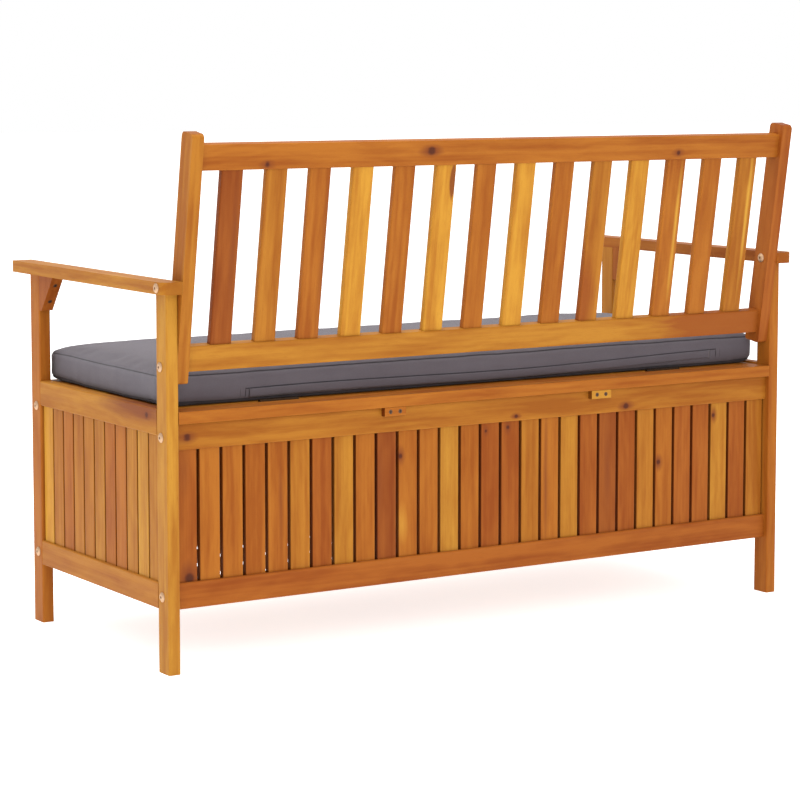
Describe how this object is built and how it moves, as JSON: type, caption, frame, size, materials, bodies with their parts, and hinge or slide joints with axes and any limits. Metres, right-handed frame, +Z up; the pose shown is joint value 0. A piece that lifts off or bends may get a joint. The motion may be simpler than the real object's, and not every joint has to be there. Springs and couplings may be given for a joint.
{
  "type": "garden storage bench",
  "caption": "Slatted wooden storage bench with armrests, a leaning slatted back and a hinged, cushioned seat lid over the box.",
  "frame": {"origin": "centre of the bench's outline, on the ground", "axes": "+Z up; the bench faces -Y and its back leans towards +Y; X runs along its length, left (-X) and right (+X) as seen from the front"},
  "size_m": [1.236, 0.5776, 0.827],
  "materials": {
    "acacia_honey": "light oiled acacia, satin",
    "acacia_amber": "oiled acacia, satin",
    "acacia_russet": "red-brown oiled acacia, satin",
    "beech_dowel": "raw turned beech",
    "zinc_hardware": "zinc-plated steel",
    "cushion_fabric": "dark grey woven polyester"
  },
  "bodies": {
    "frame": {"leg_front_left": "acacia_amber", "leg_front_right": "acacia_honey", "leg_rear_left": "acacia_amber", "leg_rear_right": "acacia_honey", "side_rail_top_left": "acacia_honey", "side_rail_top_right": "acacia_honey", "side_rail_bottom_left": "acacia_amber", "side_rail_bottom_right": "acacia_amber", "side_slats_left": "acacia_russet", "side_slats_right": "acacia_russet", "front_rail_top": "acacia_honey", "front_rail_bottom": "acacia_amber", "front_slats": "acacia_russet", "rear_rail_top": "acacia_honey", "rear_rail_bottom": "acacia_amber", "rear_slats": "acacia_russet", "floor_cleats": "acacia_amber", "floor_slats": "acacia_honey", "rear_seat_board": "acacia_honey", "rear_board_blocks": "acacia_amber", "arm_left": "acacia_honey", "arm_right": "acacia_honey", "arm_brace_left": "acacia_russet", "arm_brace_right": "acacia_russet", "back_stile_left": "acacia_amber", "back_stile_right": "acacia_amber", "back_rail_top": "acacia_amber", "back_rail_bottom": "acacia_honey", "back_slat_1": "acacia_amber", "back_slat_2": "acacia_russet", "back_slat_3": "acacia_honey", "back_slat_4": "acacia_amber", "back_slat_5": "acacia_russet", "back_slat_6": "acacia_honey", "back_slat_7": "acacia_amber", "back_slat_8": "acacia_russet", "back_slat_9": "acacia_honey", "back_slat_10": "acacia_amber", "back_slat_11": "acacia_russet", "back_slat_12": "acacia_honey", "back_slat_13": "acacia_amber", "back_slat_14": "acacia_russet", "hinge_leaves_frame": "zinc_hardware", "hinge_pins": "zinc_hardware", "hinge_screws_frame": "zinc_hardware", "panel_bolts": "zinc_hardware", "barrel_nuts": "zinc_hardware", "stile_bolts": "zinc_hardware", "insert_nuts": "zinc_hardware", "arm_bolts": "zinc_hardware", "sleeve_nuts": "zinc_hardware", "dowels": "beech_dowel", "frame_screws": "zinc_hardware", "floor_screws": "zinc_hardware"},
    "lid": {"lid_boards": "acacia_honey", "lid_battens": "acacia_amber", "lid_screws": "zinc_hardware", "seat_cushion": "cushion_fabric", "hinge_leaves_lid": "zinc_hardware", "hinge_screws_lid": "zinc_hardware"}
  },
  "joints": [
    {"name": "lid_hinge", "type": "hinge", "parent": "frame", "child": "lid", "pos_m": [0, 0.19174, 0.403], "axis": [-1, 0, 0], "range_deg": [0, 90], "deforming": ["seat_cushion"]}
  ]
}
